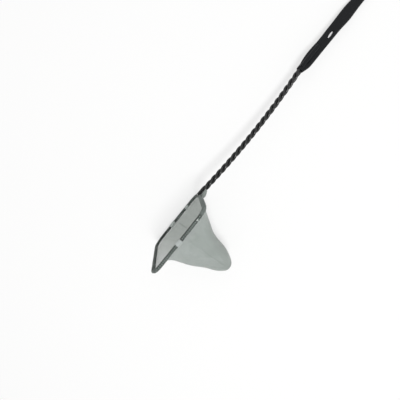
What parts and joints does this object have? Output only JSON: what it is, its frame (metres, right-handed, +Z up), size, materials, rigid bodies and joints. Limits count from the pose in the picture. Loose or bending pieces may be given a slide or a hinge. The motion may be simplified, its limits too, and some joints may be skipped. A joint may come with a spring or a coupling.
{
  "type": "aquarium fish net",
  "caption": "Aquarium fish net: rounded wire hoop with a soft tapering mesh bag, a twisted wire shank and a dipped soft grip that ends in a hanging eye.",
  "frame": {"origin": "on the surface that the net lies on, under the middle of its box", "axes": "+X along the handle from the bag to the hanging eye, +Z up, the bag lies to the -Y side of the hoop"},
  "size_m": [0.367, 0.093, 0.1085],
  "materials": {
    "core_wire": "drawn steel wire",
    "wire_coating": "smooth black vinyl coating, slight gloss",
    "grip_skin": "soft dipped vinyl, satin black",
    "mesh": "fine knitted nylon mesh, grey with a green tint",
    "hem_mesh": "the same mesh, doubled over the wire",
    "patch": "mesh doubled again where the seam ends",
    "thread": "pale nylon sewing thread"
  },
  "bodies": {
    "root": {"hoop_core": "core_wire", "hoop_coating": "wire_coating", "strand_core_1": "core_wire", "strand_core_2": "core_wire", "strand_core_3": "core_wire", "strand_coating_1": "wire_coating", "strand_coating_2": "wire_coating", "strand_coating_3": "wire_coating", "grip_wire_core": "core_wire", "grip_wire_coating": "wire_coating", "grip_skin": "grip_skin", "bag_handle_panel": "mesh", "bag_end_panel": "mesh", "bag_seam": "thread", "hem_upper": "hem_mesh", "hem_lower": "hem_mesh", "hem_end": "hem_mesh", "hem_patch_upper": "patch", "hem_patch_lower": "patch", "hem_thread": "thread", "neck_flap": "hem_mesh"}
  },
  "joints": []
}
